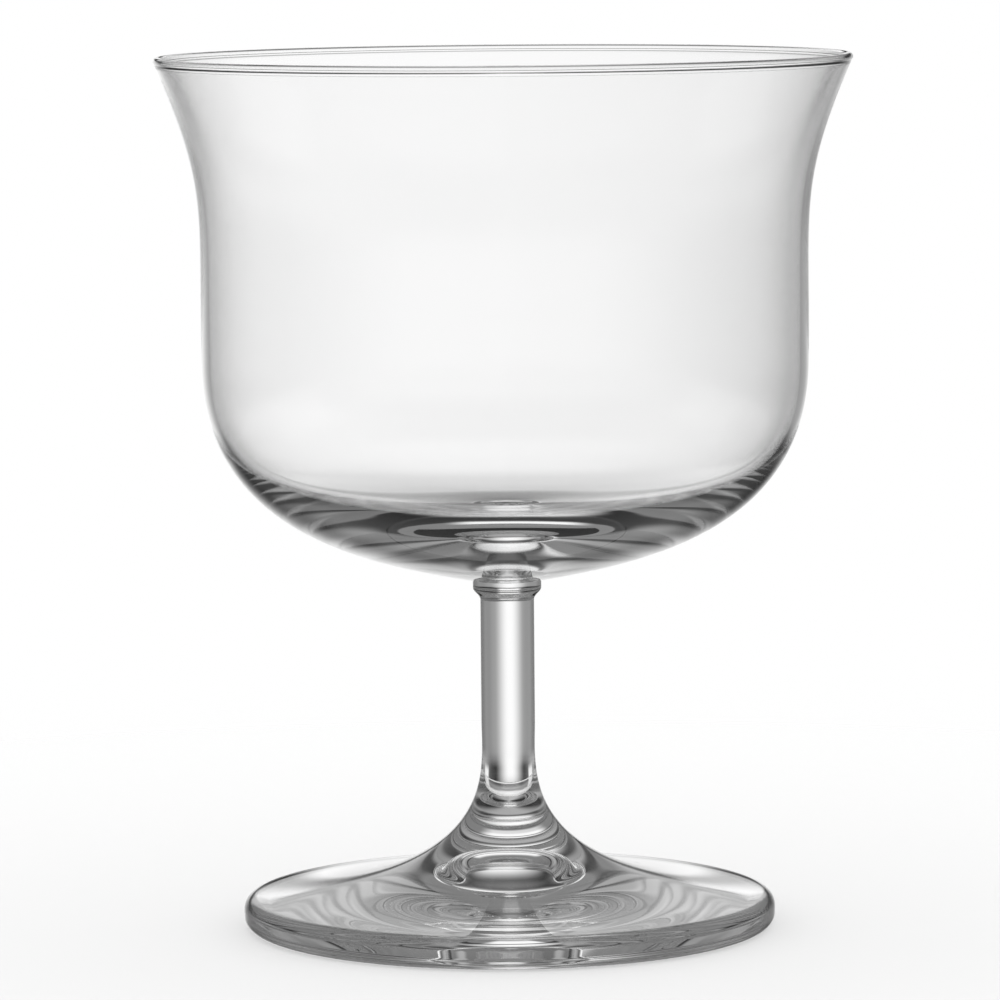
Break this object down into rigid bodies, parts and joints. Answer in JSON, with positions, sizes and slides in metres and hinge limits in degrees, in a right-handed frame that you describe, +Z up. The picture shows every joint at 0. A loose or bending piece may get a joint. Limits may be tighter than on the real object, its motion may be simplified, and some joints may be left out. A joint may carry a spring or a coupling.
{
  "type": "stemmed cocktail glass",
  "caption": "Clear stemmed cocktail glass: near-straight bowl with a flared, fire-polished lip, short solid stem with a collar, and a round foot rising to a cone.",
  "frame": {"origin": "centre of the foot's underside, on the plane that the glass rests on", "axes": "+Z up the stem and through the middle of the lip; the glass is round about +Z, so +X and +Y are free"},
  "size_m": [0.09, 0.09, 0.1132],
  "materials": {
    "clear_glass": "clear, fire-polished"
  },
  "bodies": {
    "root": {"bowl": "clear_glass", "collar": "clear_glass", "stem": "clear_glass", "foot": "clear_glass"}
  },
  "joints": []
}
